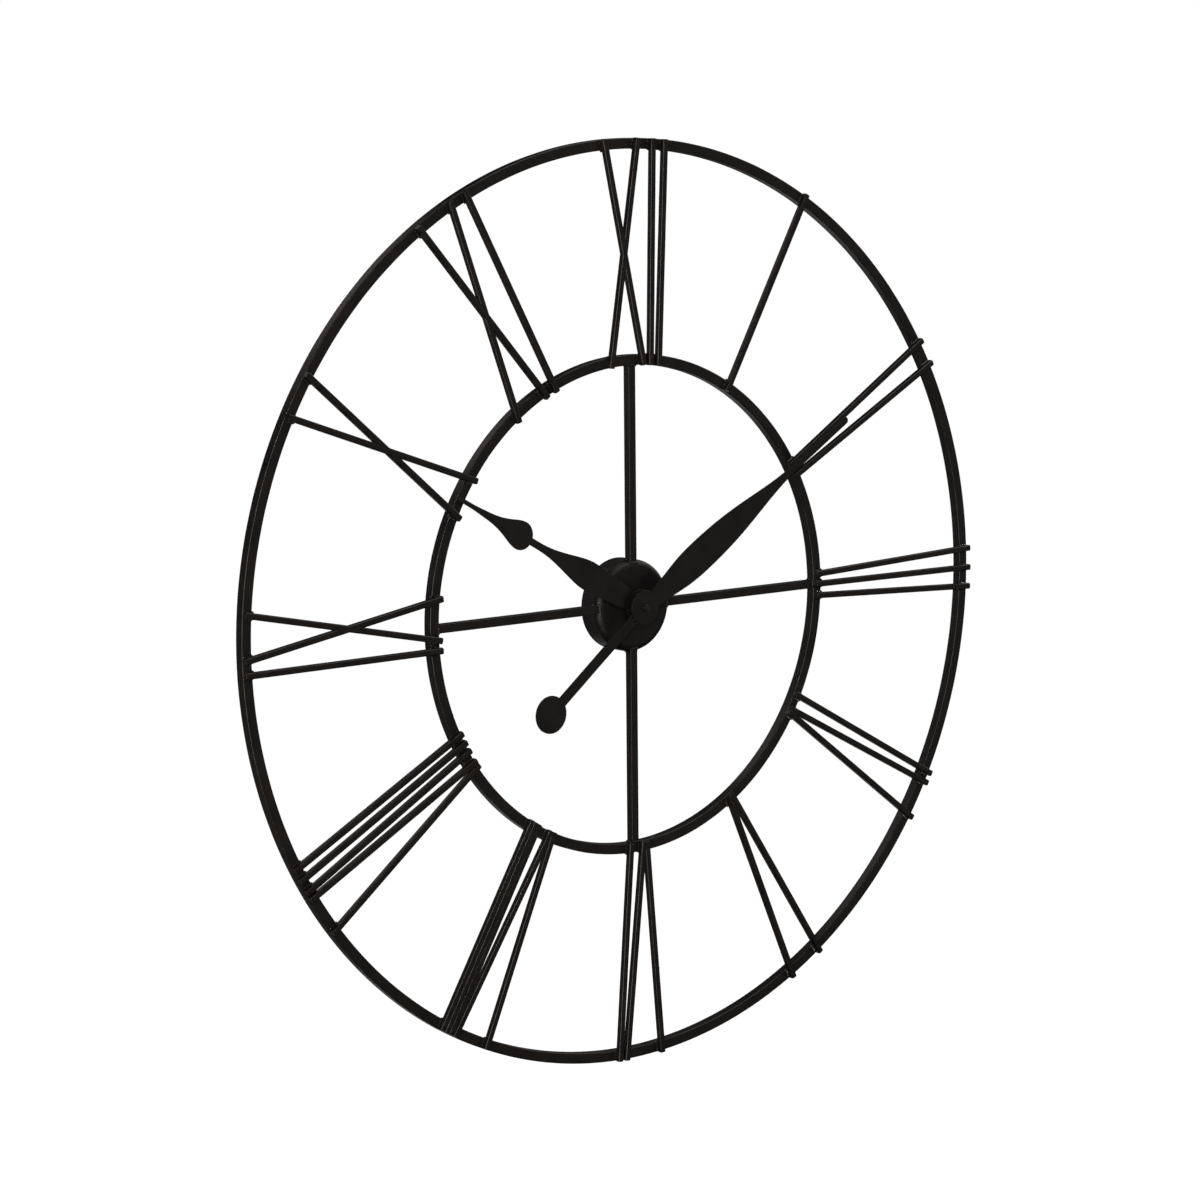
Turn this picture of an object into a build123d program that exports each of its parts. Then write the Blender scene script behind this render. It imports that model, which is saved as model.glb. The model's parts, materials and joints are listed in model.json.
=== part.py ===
from build123d import *
import os
from math import atan2, cos, degrees, radians, sin, sqrt

# Open-work iron wall clock, millimetres.
# Everything is drawn in the face frame: X right, Y up, Z towards the viewer, with the hands' axis at
# X = Y = 0 and the middle plane of the two rings at Z = 0.  save() turns it upright (front to -Y, up
# to +Z) and puts the origin on the hanging hole, on the wall plane.

# ---------------------------------------------------------------- driving dimensions
ring_radius = 480.0          # outside of the outer ring
inner_radius = 260.0         # outside of the inner ring
ring_bar = 11.0              # square bar that both rings are bent from
cross_bar = 9.0              # square bar of the four arms
stroke_bar = 6.5             # square bar of the numerals
ring_edge = 1.2              # rounded edges of those bars
cross_edge = 0.8
stroke_edge = 1.5

cup_radius = 48.0            # pressed cup that holds the movement
cup_front = 6.0
cup_depth = 28.5
cup_sheet = 1.5
cup_edge = 8.0               # rounding between the cup's face and its side
wall_plane = cup_front - cup_depth

hanger_sheet = 2.0           # keyhole plate in the back of the cup
hanger_low = 30.0            # heights above the hands' axis
keyhole_height = 37.0
keyhole_top = 43.0
keyhole_radius = 4.5
keyhole_slot = 4.5           # width

hand_sheet = 1.2             # hands are cut from sheet
hand_edge = 0.25
hub_radius = 18.0            # round boss of both hands
minute_plane = 23.4          # front faces of the two hands
hour_plane = 15.4
minute_angle = 57.7          # clockwise from twelve
hour_angle = 299.5
tail_angle = 231.4
minute_length = 334.0        # from the axis to the tip
hour_length = 263.0

case_size = 56.0             # quartz movement, outside
case_front = 3.5
case_depth = 17.0
case_wall = 1.5
case_corner = 4.0
case_split = 14.0            # depth of the front shell
gasket = 1.0                 # thickness
sleeve_radius = 4.0
sleeve_bore = 2.65           # bores are given as radii
sleeve_tip = 13.0
washer_sheet = 0.6
hour_tube_radius = 2.6
hour_tube_bore = 1.75
minute_shaft_radius = 1.7
pivot_radius = 0.5
pivot_play = 0.05

battery_radius = 7.25
battery_length = 50.5

# Roman strokes, hour by hour, each as (offset at the outer ring, offset at the inner ring), clockwise
# of the hour's own radius.  The foot of every numeral points to the middle of the clock.
numerals = {
    12: [(-37, 10.5), (4.5, -30.5), (25, 20.5), (41, 31.5)],
    1: [(-4.5, -1)],
    2: [(-18.5, -8), (10, 6)],
    3: [(-20.5, -11.5), (1, -0.5), (22, 12)],
    4: [(-12.5, -9), (-1, 7.5), (41, 12.5)],
    5: [(-17.5, -4), (26.5, 1)],
    6: [(27, 10.5), (17.5, -6), (-29.5, -11)],
    7: [(19.1, 17.5), (13.6, 12.5), (8.2, 7.6), (0.5, -10), (-42.3, -15.3)],
    8: [(25, 20), (12, 9.5), (-2, -0.5), (-11, -14), (-54.5, -20.5)],
    9: [(35.5, -10), (-7.5, 30), (-22, -21)],
    10: [(23.5, -17.5), (-19.5, 22.5)],
    11: [(-34, 12), (9.5, -29), (30.5, 26)],
}

# Wheels.  The minute shaft's pinion turns the minute wheel, whose own pinion turns the hour wheel
# (36/12 x 40/10 = 12).  From the rotor to the minute shaft: 50/10 x 60/10 x 75/10 x 80/10 = 1800.
cannon_teeth = 12            # pinion on the minute shaft, and the same on the setting knob
motion_teeth = 36
cannon_module = 0.375
motion_pinion_teeth = 10
hour_teeth = 40
hour_module = 0.36
centre_teeth = 80
third_teeth = 75
fourth_teeth = 60
fifth_teeth = 50
train_pinion_teeth = 10      # pinions of the third, fourth and fifth wheels and of the rotor
train_module = 0.2

solids = {}


def save(name, *shapes):
    """Store one node, turned upright and moved so that the origin is the hanging hole."""
    upright = Pos(0, wall_plane, -keyhole_height) * Rot(90, 0, 0)
    solids[name] = [upright * shape for shape in shapes]


def disc(radius, low, high, x=0.0, y=0.0):
    """Round bar along Z between two heights."""
    return Pos(x, y, low) * extrude(Circle(radius), high - low)


def tube(radius, bore, low, high):
    return Pos(0, 0, low) * extrude(Circle(radius) - Circle(bore), high - low)


def block(width, height, low, high, x=0.0, y=0.0):
    return Pos(x, y, low) * extrude(Rectangle(width, height), high - low)


def polar(distance, angle):
    """Point at a distance and an angle in degrees, anticlockwise from +X."""
    return distance * cos(radians(angle)), distance * sin(radians(angle))


# ---------------------------------------------------------------- rings, arms and numerals
def ring(radius):
    section = Plane.XZ * Pos(radius - ring_bar / 2, 0) * RectangleRounded(ring_bar, ring_bar, ring_edge)
    return revolve(section, Axis.Z)


def cup_form(radius, front, edge):
    """Solid of the cup's shape, from the wall plane to a front face with a rounded edge."""
    form = disc(radius, wall_plane, front)
    return fillet(form.edges().group_by(Axis.Z)[-1], edge)


def arm(angle):
    """One arm, scribed to the cup at one end and to the inner ring at the other."""
    section = Plane.YZ * RectangleRounded(cross_bar, cross_bar, cross_edge)
    bar = extrude(section, inner_radius)
    bar &= disc(inner_radius - ring_bar, -ring_bar, ring_bar)
    bar -= cup_form(cup_radius, cup_front, cup_edge)
    return Rot(0, 0, angle) * bar


def stroke_line(hour, outer_offset, inner_offset):
    """Ends of a stroke: flush with the outer ring's outside and the inner ring's inside."""
    outer_middle = ring_radius - ring_bar / 2
    inner_middle = inner_radius - ring_bar / 2
    outer = Vector(outer_offset, sqrt(outer_middle ** 2 - outer_offset ** 2))
    inner = Vector(inner_offset, sqrt(inner_middle ** 2 - inner_offset ** 2))
    along = (outer - inner).normalized()
    top = outer + along * (ring_bar / 2)
    foot = inner - along * (ring_bar / 2)
    turn = -30.0 * hour
    return foot.rotate(Axis.Z, turn), top.rotate(Axis.Z, turn)


def stroke(foot, top, sharp=False):
    """A numeral's bar; the sharp one is the square cutter that trims the bars that meet it."""
    run = top - foot
    angle = degrees(atan2(run.Y, run.X))
    section = Rectangle(stroke_bar, stroke_bar)
    if not sharp:
        section = RectangleRounded(stroke_bar, stroke_bar, stroke_edge)
    bar = extrude(Plane.YZ * section, run.length)
    height = ring_bar / 2 + stroke_bar / 2
    return Pos(foot.X, foot.Y, height) * Rot(0, 0, angle) * bar


def numeral(hour):
    """The numeral's bars.  A later bar is cut where it would run through an earlier one."""
    bars = []
    cutters = []
    for outer_offset, inner_offset in numerals[hour]:
        foot, top = stroke_line(hour, outer_offset, inner_offset)
        bar = stroke(foot, top)
        for cutter in cutters:
            bar -= cutter
        bars.extend(bar.solids())
        cutters.append(stroke(foot, top, sharp=True))
    return bars


save("outer_ring", ring(ring_radius))
save("inner_ring", ring(inner_radius))
for name, angle in (("right", 0), ("top", 90), ("left", 180), ("bottom", 270)):
    save(f"crossbar_{name}", arm(angle))
for hour in numerals:
    save(f"numeral_{hour:02d}", *numeral(hour))


# ---------------------------------------------------------------- cup and hanger
def movement_cup():
    """Pressed cup, open at the back, with the hole for the sleeve."""
    sleeve_play = 0.15
    cup = cup_form(cup_radius, cup_front, cup_edge)
    hollow = cup_form(cup_radius - cup_sheet, cup_front - cup_sheet, cup_edge - cup_sheet)
    return cup - hollow - disc(sleeve_radius + sleeve_play, wall_plane, cup_front)


def hanger_plate():
    """Segment plate in the mouth of the cup, with the keyhole that hooks over a wall screw."""
    low = wall_plane
    high = wall_plane + hanger_sheet
    plate = disc(cup_radius - cup_sheet, low, high)
    plate -= block(2 * cup_radius, 2 * cup_radius, low, high, 0, hanger_low - cup_radius)
    plate -= disc(keyhole_radius, low, high, 0, keyhole_height)
    slot_end = keyhole_top - keyhole_slot / 2
    slot_length = slot_end - keyhole_height
    plate -= block(keyhole_slot, slot_length, low, high, 0, keyhole_height + slot_length / 2)
    return plate - disc(keyhole_slot / 2, low, high, 0, slot_end)


save("movement_cup", movement_cup())
save("hanger_plate", hanger_plate())


# ---------------------------------------------------------------- hands
def blade(points, slope, tip):
    """Flat outline about +Y: a spline up each side from a base, straight sides, a round tip.

    Points are (half width, distance from the axis); slope is the first point's, sideways over along.
    """
    half, straight_from = points[-1]
    shoulder = tip - half
    side = Spline(*points, tangents=[(slope, 1), (0, 1)])
    edge = Line((half, straight_from), (half, shoulder))
    end = ThreePointArc((half, shoulder), (0, tip), (-half, shoulder))
    base = Line((-points[0][0], points[0][1]), points[0])
    return make_face([side, edge, end, mirror(edge, Plane.YZ), mirror(side, Plane.YZ), base])


def minute_outline():
    points = [
        (7.0, 8.0), (12.6, 37.0), (16.3, 60.0), (17.9, 94.0), (14.6, 150.0), (7.2, 202.0), (3.9, 246.0),
    ]
    return blade(points, 0.35, minute_length)


def hour_outline():
    """Leaf, then a round bulb that runs out into a fine point."""
    bulb_along = 176.0
    bulb_radius = 14.8
    leaf = [(7.5, 8.0), (14.2, 62.0), (15.2, 75.0), (11.2, 102.0), (6.0, 126.0), (3.8, 150.0)]
    spear = [(14.6, 178.0), (10.6, 192.0), (5.4, 210.0), (3.4, 228.0), (2.3, 250.0)]
    bulb = Pos(0, bulb_along) * Circle(bulb_radius)
    return blade(leaf, 0.35, bulb_along) + bulb + blade(spear, -0.1, hour_length)


def sheet_part(outline, front, angle):
    """Sheet cut to an outline, turned to its place on the dial, with softened front edges."""
    plate = extrude(outline, hand_sheet)
    plate = fillet(plate.edges().group_by(Axis.Z)[-1], hand_edge)
    return Rot(0, 0, -angle) * Pos(0, 0, front - hand_sheet) * plate


def hand(outline, front, angle, bore):
    return sheet_part(outline + Circle(hub_radius) - Circle(bore), front, angle)


def counterweight():
    """Plain bar with a round disc, lapped behind the minute hand's boss."""
    bar_width = 11.6
    bar_start = 8.0
    disc_along = 157.3
    disc_radius = 19.5
    bar_length = disc_along - bar_start
    bar = Pos(0, bar_start + bar_length / 2) * Rectangle(bar_width, bar_length)
    outline = bar + Pos(0, disc_along) * Circle(disc_radius)
    return sheet_part(outline, minute_plane - hand_sheet, tail_angle)


def weld_tacks():
    """Three tacks in the corner between the boss's edge and the counterweight."""
    low = minute_plane - hand_sheet
    tack_radius = 1.1
    tack_from_axis = hub_radius + 0.7
    tacks = []
    for side in (-16.0, 0.0, 16.0):
        x, y = polar(tack_from_axis, 90 - tail_angle + side)
        tack = Pos(x, y, low) * Sphere(tack_radius)
        tack &= disc(2 * tack_radius, low, low + tack_radius, x, y)
        tacks.append(tack - disc(hub_radius, low, minute_plane + tack_radius))
    return tacks


def collar(radius, bore, low, high):
    chamfer_size = 0.4
    part = tube(radius, bore, low, high)
    return chamfer(part.edges().group_by(Axis.Z)[0], chamfer_size)


def cap_nut():
    """Domed nut on the end of the minute shaft."""
    low = minute_plane
    radius = 4.2
    skirt = 1.6
    height = 4.2
    hole_depth = 2.4
    dome = disc(radius, low, low + skirt) + Pos(0, 0, low + skirt) * Sphere(radius)
    dome &= disc(radius, low, low + height)
    return dome - disc(minute_shaft_radius, low, low + hole_depth)


end_play = 0.6                           # behind the hour hand's collar
hand_gap = 1.8                           # between the hour hand and the minute hand's collar
save("hour_hand", hand(hour_outline(), hour_plane, hour_angle, hour_tube_radius))
save("hour_collar", collar(6.5, hour_tube_radius, sleeve_tip + end_play, hour_plane - hand_sheet))
save("minute_hand", hand(minute_outline(), minute_plane, minute_angle, minute_shaft_radius))
save("minute_collar", collar(5.5, minute_shaft_radius, hour_plane + hand_gap, minute_plane - hand_sheet))
save("counterweight", counterweight())
save("counterweight_tacks", *weld_tacks())
save("cap_nut", cap_nut())


# ---------------------------------------------------------------- wheels
def toothed(teeth, module, low, high, at, phase, bore=0.0):
    """Gear between two heights; one tooth is centred on the angle phase, in degrees."""
    pitch_radius = teeth * module / 2
    tip = pitch_radius + 0.8 * module
    root = pitch_radius - 1.15 * module
    pitch = 360.0 / teeth
    root_share = 0.30                    # half widths of a tooth, as shares of the pitch
    tip_share = 0.10
    points = []
    for index in range(teeth):
        middle = phase + index * pitch
        points.append(polar(root, middle - root_share * pitch))
        points.append(polar(tip, middle - tip_share * pitch))
        points.append(polar(tip, middle + tip_share * pitch))
        points.append(polar(root, middle + root_share * pitch))
    outline = make_face(Polyline(*points, close=True))
    if bore:
        outline -= Circle(bore)
    return Pos(*at, low) * extrude(outline, high - low)


def mesh_phase(teeth, driver_teeth, driver_phase, direction):
    """Phase that puts a gap opposite the driver's tooth; direction points from driver to driven."""
    driver_pitch = 360.0 / driver_teeth
    pitch = 360.0 / teeth
    lead = ((direction - driver_phase) / driver_pitch) % 1.0
    return direction + 180.0 + (lead + 0.5) * pitch


plate_back = -9.9                        # rear plate of the movement, front face
plate_sheet = 1.0
front_floor = case_front - case_wall     # inside of the front shell
pivot_low = plate_back - plate_sheet
pivot_depth = 0.7
pivot_high = front_floor + pivot_depth
pivot_length = 1.0
pinion_extra = 0.2                       # a pinion is this much longer than the wheel it meets


def arbor(at, radius):
    """Spindle between the rear plate and the front shell, with a thinner pivot at each end."""
    spindle = disc(radius, pivot_low + pivot_length, pivot_high - pivot_length, *at)
    return spindle + disc(pivot_radius, pivot_low, pivot_high, *at)


def stepped(origin, distance, angle):
    """Centre of the next wheel, one meshing distance away."""
    x, y = polar(distance, angle)
    return origin[0] + x, origin[1] + y


def train_distance(teeth):
    return (teeth + train_pinion_teeth) * train_module / 2


centre_at = (0.0, 0.0)
third_angle = 60                         # directions from each wheel to the next
fourth_angle = 20
fifth_angle = 100
rotor_angle = 180
motion_angle = 135
knob_angle = 180
motion_distance = (cannon_teeth + motion_teeth) * cannon_module / 2
third_at = stepped(centre_at, train_distance(centre_teeth), third_angle)
fourth_at = stepped(third_at, train_distance(third_teeth), fourth_angle)
fifth_at = stepped(fourth_at, train_distance(fourth_teeth), fifth_angle)
rotor_at = stepped(fifth_at, train_distance(fifth_teeth), rotor_angle)
motion_at = stepped(centre_at, motion_distance, motion_angle)
knob_at = stepped(motion_at, motion_distance, knob_angle)

hour_band = (0.3, 1.5)                   # (back, front) of each wheel
cannon_band = (-2.0, -0.3)
motion_band = (-1.8, -0.6)
centre_band = (-3.8, -2.8)
third_band = (-5.8, -4.9)
fourth_band = (-7.6, -6.8)
fifth_band = (-9.3, -8.6)
magnet_band = (-4.0, -0.5)
magnet_radius = 3.0
spindle_radius = 0.6
seat_radius = 1.2                        # the centre wheel's seat on the minute shaft


def hour_wheel():
    """Wheel and the tube that carries the hour hand."""
    tube_end = 0.4
    phase = mesh_phase(hour_teeth, motion_pinion_teeth, 0, motion_angle + 180)
    wheel = toothed(hour_teeth, hour_module, *hour_band, centre_at, phase, hour_tube_bore)
    return wheel + tube(hour_tube_radius, hour_tube_bore, hour_band[0], hour_plane + tube_end)


def minute_shaft():
    """Shaft from the rear plate to the cap nut, with the pinion and the centre wheel's seat."""
    thread_length = 2.0
    back_radius = 0.8
    shaft = toothed(cannon_teeth, cannon_module, *cannon_band, centre_at, 0)
    shaft += disc(minute_shaft_radius, cannon_band[1], minute_plane + thread_length)
    shaft += disc(seat_radius, centre_band[0] - pinion_extra, cannon_band[0])
    shaft += disc(back_radius, pivot_low + pivot_length, centre_band[0])
    return shaft + disc(pivot_radius, pivot_low, centre_band[0])


def centre_wheel():
    return toothed(centre_teeth, train_module, *centre_band, centre_at, 0, seat_radius)


def minute_wheel():
    """Wheel that meshes with the minute shaft's pinion, and the pinion that turns the hour wheel."""
    arbor_radius = 0.9
    phase = mesh_phase(motion_teeth, cannon_teeth, 0, motion_angle)
    wheel = toothed(motion_teeth, cannon_module, *motion_band, motion_at, phase)
    wheel += toothed(motion_pinion_teeth, hour_module, motion_band[1], hour_band[1], motion_at, 0)
    return wheel + arbor(motion_at, arbor_radius)


def train_pinion(at, back, front, driver_teeth, direction):
    """Spindle with a pinion that meshes with the wheel before it."""
    phase = mesh_phase(train_pinion_teeth, driver_teeth, 0, direction)
    pinion = toothed(train_pinion_teeth, train_module, back, front + pinion_extra, at, phase)
    return pinion + arbor(at, spindle_radius)


def train_wheel(at, teeth, band, driver_band, driver_teeth, direction):
    """Wheel at the back, with its pinion in front of it."""
    pinion = train_pinion(at, band[1], driver_band[1], driver_teeth, direction)
    return pinion + toothed(teeth, train_module, *band, at, 0)


def rotor():
    """Magnet with the pinion that drives the fifth wheel."""
    pinion = train_pinion(rotor_at, fifth_band[0] - pinion_extra, fifth_band[1], fifth_teeth, rotor_angle)
    return pinion + disc(magnet_radius, *magnet_band, *rotor_at)


case_back = case_front - case_depth
stem_radius = 1.2


def setting_knob():
    """Knurled knob on the back, whose pinion turns the minute wheel."""
    knob_radius = 5.0
    head_back = case_back - 3.2
    head_front = case_back - 0.4
    rib_count = 24
    groove_radius = 0.45
    groove_from_axis = 5.25
    motion_phase = mesh_phase(motion_teeth, cannon_teeth, 0, motion_angle)
    phase = mesh_phase(cannon_teeth, motion_teeth, motion_phase, knob_angle)
    knob = toothed(cannon_teeth, cannon_module, *cannon_band, knob_at, phase)
    knob += disc(stem_radius, head_front, cannon_band[0], *knob_at)
    knob += disc(pivot_radius, cannon_band[1], pivot_high, *knob_at)
    knob += disc(knob_radius, head_back, head_front, *knob_at)
    for index in range(rib_count):
        groove_at = stepped(knob_at, groove_from_axis, index * 360 / rib_count)
        knob -= disc(groove_radius, head_back, head_front, *groove_at)
    return knob


save("hour_wheel", hour_wheel())
save("minute_shaft", minute_shaft())
save("centre_wheel", centre_wheel())
save("minute_wheel", minute_wheel())
driver = (centre_band, centre_teeth)
for name, at, teeth, band, angle in (
    ("third", third_at, third_teeth, third_band, third_angle),
    ("fourth", fourth_at, fourth_teeth, fourth_band, fourth_angle),
    ("fifth", fifth_at, fifth_teeth, fifth_band, fifth_angle),
):
    save(f"{name}_wheel", train_wheel(at, teeth, band, *driver, angle))
    driver = (band, teeth)
save("rotor", rotor())
save("setting_knob", setting_knob())

# ---------------------------------------------------------------- movement case
inside = case_size - 2 * case_wall
split = case_front - case_split          # where the front shell meets the back cover
bay_height = 15.3                        # battery bay along the bottom edge
bay_wall = 1.0
bay_top = -inside / 2 + bay_height
battery_play = 0.2
battery_y = -inside / 2 + battery_radius + battery_play
battery_z = front_floor - battery_radius - battery_play
pillar_at = [(-22.5, -5.5), (22.5, -5.5), (-22.8, 9.5), (22.5, 22.5)]
pillar_radius = 2.2
screw_radius = 0.9
screw_reach = 4.0
train_pivots = [motion_at, third_at, fourth_at, fifth_at, rotor_at]


def case_slab(size, corner, low, high):
    return Pos(0, 0, low) * extrude(RectangleRounded(size, size, corner), high - low)


def pivot_hole(at, low, high):
    return disc(pivot_radius + pivot_play, low, high, *at)


def case_shell():
    """Front shell: floor, walls, the wall of the battery bay, pivot holes and four pillars."""
    shell = case_slab(case_size, case_corner, split, case_front)
    shell -= case_slab(inside, case_corner - case_wall, split, front_floor)
    shell += block(inside, bay_wall, split, front_floor, 0, bay_top + bay_wall / 2)
    for at in pillar_at:
        shell += disc(pillar_radius, plate_back, front_floor, *at)
        shell -= disc(screw_radius, plate_back, plate_back + screw_reach + 1, *at)
    for at in train_pivots + [knob_at]:
        shell -= pivot_hole(at, front_floor, pivot_high + pivot_play)
    return shell - disc(sleeve_radius, front_floor, case_front)


def rear_plate():
    """Plate that carries the rear pivots, cut away for the knob's stem."""
    width = 50.0
    height = 34.5
    middle_y = 7.75
    screw_play = 0.2
    stem_hole_radius = 2.0
    plate = block(width, height, pivot_low, plate_back, 0, middle_y)
    for at in train_pivots + [centre_at]:
        plate -= pivot_hole(at, pivot_low, plate_back)
    for at in pillar_at:
        plate -= disc(screw_radius + screw_play, pivot_low, plate_back, *at)
    return plate - disc(stem_hole_radius, pivot_low, plate_back, *knob_at)


def plate_screws():
    """Four slotted screws that hold the rear plate to the shell's pillars."""
    head_radius = 1.8
    head_height = 0.8
    slot_width = 0.5
    slot_depth = 0.4
    head_back = pivot_low - head_height
    screws = []
    for at in pillar_at:
        screw = disc(screw_radius, pivot_low, plate_back + screw_reach, *at)
        screw += disc(head_radius, head_back, pivot_low, *at)
        screw -= block(2 * head_radius, slot_width, head_back, head_back + slot_depth, *at)
        screws.append(screw)
    return screws


def back_cover():
    """Rear cover with the knob hole and the open battery bay."""
    cover_wall = 1.2
    cover_chamfer = 0.6
    bay_margin = 0.5
    stem_play = 0.05
    cover = case_slab(case_size, case_corner, case_back, split)
    cover -= case_slab(inside, case_corner - case_wall, case_back + cover_wall, split)
    cover = chamfer(cover.edges().group_by(Axis.Z)[0], cover_chamfer)
    cover -= block(inside - 2 * bay_margin, bay_height, case_back, split, 0, bay_top - bay_height / 2)
    return cover - disc(stem_radius + stem_play, case_back, split, *knob_at)


def battery():
    """AA cell on its side, with its raised contact."""
    nub_height = 1.0
    nub_radius = 2.6
    can_edge = 0.6
    can = extrude(Circle(battery_radius), battery_length - nub_height)
    can = fillet(can.edges(), can_edge)
    cell = can + extrude(Circle(nub_radius), battery_length)
    return Pos(-battery_length / 2, battery_y, battery_z) * Rot(0, 90, 0) * cell


def battery_contact(side):
    """Sprung strip at one end of the battery bay."""
    strip = 0.4
    width = 9.0
    height = 11.0
    gap = 0.15
    x = side * (battery_length / 2 + gap + strip / 2)
    return block(strip, width, battery_z - height / 2, battery_z + height / 2, x, battery_y)


board_front = -8.2


def circuit_board():
    width = 12.0
    height = 11.0
    thickness = 0.8
    board = block(width, height, board_front - thickness, board_front, 12.5, -3.2)
    return board - disc(thickness, board_front - thickness, board_front, 8.2, 0.6)


def board_parts():
    """Crystal can and the sealed chip."""
    can_radius = 1.0
    can_length = 6.0
    chip_radius = 2.2
    chip_height = 1.0
    chip_x = 14.5
    chip_y = -5.4
    can = Pos(9.5, -1.2, board_front + can_radius) * Rot(0, 90, 0) * extrude(Circle(can_radius), can_length)
    chip = Pos(chip_x, chip_y, board_front) * Sphere(chip_radius)
    chip &= disc(chip_radius, board_front, board_front + chip_height, chip_x, chip_y)
    return [can, chip]


coil_x = -13.0
coil_y = 21.5
coil_length = 16.0
core_band = (-2.9, -1.1)
core_z = sum(core_band) / 2
core_height = 1.6
reel_width = 2.6
reel_depth = 3.4


def coil_block(length, width, depth, x=coil_x):
    """Block round the coil's axis."""
    return block(length, width, core_z - depth / 2, core_z + depth / 2, x, coil_y)


def coil_bobbin():
    """Square reel with a flange at each end, hollow for the core."""
    flange = 0.8
    flange_width = 7.0
    flange_depth = 6.6
    reel = coil_block(coil_length, reel_width, reel_depth)
    for side in (-1, 1):
        x = coil_x + side * (coil_length + flange) / 2
        reel += coil_block(flange, flange_width, flange_depth, x)
    return reel - coil_block(coil_length + 2 * flange, core_height, core_band[1] - core_band[0])


def coil_winding():
    wound_radius = 3.1
    wound = Rot(0, 90, 0) * extrude(Circle(wound_radius), coil_length)
    wound = Pos(coil_x - coil_length / 2, coil_y, core_z) * wound
    return wound - coil_block(coil_length, reel_width, reel_depth)


def stator():
    """Iron core: through the coil, and back round the rotor's hole."""
    left = coil_x - coil_length / 2 - 3.0
    right = rotor_at[0] + 5.2
    middle = (left + right) / 2
    post_width = 2.0
    lower_width = 1.8
    lower_y = rotor_at[1] - 2.0
    shoe_width = 10.4
    shoe_height = 9.0
    shoe_y = rotor_at[1] + 0.3
    rotor_gap = 0.5
    core = block(right - left, core_height, *core_band, middle, coil_y)
    core += block(right - left, lower_width, *core_band, middle, lower_y)
    core += block(post_width, coil_y - lower_y, *core_band, left + post_width / 2, (coil_y + lower_y) / 2)
    core += block(shoe_width, shoe_height, *core_band, rotor_at[0], shoe_y)
    return core - disc(magnet_radius + rotor_gap, *core_band, *rotor_at)


def sleeve():
    """Threaded sleeve that clamps the movement to the cup; the thread is a row of grooves."""
    groove_count = 9
    groove_pitch = 0.75
    groove_depth = 0.3
    groove_half_width = 0.27
    first_groove = 0.4
    rim = sleeve_radius + 0.1
    part = tube(sleeve_radius, sleeve_bore, front_floor, sleeve_tip)
    for index in range(groove_count):
        z = sleeve_tip - first_groove - index * groove_pitch
        root = (sleeve_radius - groove_depth, z)
        flanks = [(rim, z + groove_half_width), (rim, z - groove_half_width)]
        groove = Plane.XZ * make_face(Polyline(root, *flanks, close=True))
        part -= revolve(groove, Axis.Z)
    return part


def hex_nut():
    across_flats = 12.0
    corner_radius = 6.75
    height = 2.4
    low = cup_front + washer_sheet
    nut = Pos(0, 0, low) * extrude(RegularPolygon(across_flats / 2, 6, major_radius=False), height)
    nut &= disc(corner_radius, low, low + height)
    return nut - disc(sleeve_radius, low, low + height)


washer_bore = sleeve_radius + 0.1
save("case_shell", case_shell())
save("rear_plate", rear_plate())
save("plate_screws", *plate_screws())
save("back_cover", back_cover())
save("battery", battery())
save("battery_contact_positive", battery_contact(1))
save("battery_contact_negative", battery_contact(-1))
save("circuit_board", circuit_board())
save("board_parts", *board_parts())
save("coil_bobbin", coil_bobbin())
save("coil_winding", coil_winding())
save("stator", stator())
save("threaded_sleeve", sleeve())
save("rubber_gasket", tube(13.0, washer_bore, case_front, case_front + gasket))
save("brass_washer", tube(6.8, washer_bore, cup_front, cup_front + washer_sheet))
save("hex_nut", hex_nut())

# ---------------------------------------------------------------- write the parts
os.makedirs("parts", exist_ok=True)
for name, shapes in solids.items():
    pieces = [piece for shape in shapes for piece in shape.solids()]
    whole = pieces[0] if len(pieces) == 1 else Compound(children=pieces)
    export_step(whole, f"parts/{name}.step")
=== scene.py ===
import json
from math import cos, pi, radians, sin

import bmesh
import bpy
import numpy as np
from mathutils import Matrix, Vector, noise


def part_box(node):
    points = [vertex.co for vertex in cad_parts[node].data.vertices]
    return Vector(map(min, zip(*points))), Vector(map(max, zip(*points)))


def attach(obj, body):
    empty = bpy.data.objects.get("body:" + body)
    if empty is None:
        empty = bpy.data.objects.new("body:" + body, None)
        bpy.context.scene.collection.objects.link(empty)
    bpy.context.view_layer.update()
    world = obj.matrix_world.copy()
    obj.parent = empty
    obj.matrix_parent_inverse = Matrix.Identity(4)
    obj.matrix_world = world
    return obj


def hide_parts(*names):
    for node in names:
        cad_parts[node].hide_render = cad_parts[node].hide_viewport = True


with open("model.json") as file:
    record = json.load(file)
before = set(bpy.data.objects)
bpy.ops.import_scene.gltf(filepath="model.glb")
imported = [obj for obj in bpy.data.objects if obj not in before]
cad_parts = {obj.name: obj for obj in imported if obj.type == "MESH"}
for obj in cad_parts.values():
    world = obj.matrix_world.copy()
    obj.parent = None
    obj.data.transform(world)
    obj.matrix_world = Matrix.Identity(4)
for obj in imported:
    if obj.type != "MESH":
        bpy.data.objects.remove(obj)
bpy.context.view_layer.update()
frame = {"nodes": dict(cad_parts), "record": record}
scene = bpy.context.scene
nodes = frame["nodes"]
mm = 0.001
FORWARD = Vector((0.0, -1.0, 0.0))       # out of the wall, towards whoever reads the clock


def middle(node):
    """Centre of a CAD node's box."""
    low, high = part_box(node)
    return (low + high) / 2


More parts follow.
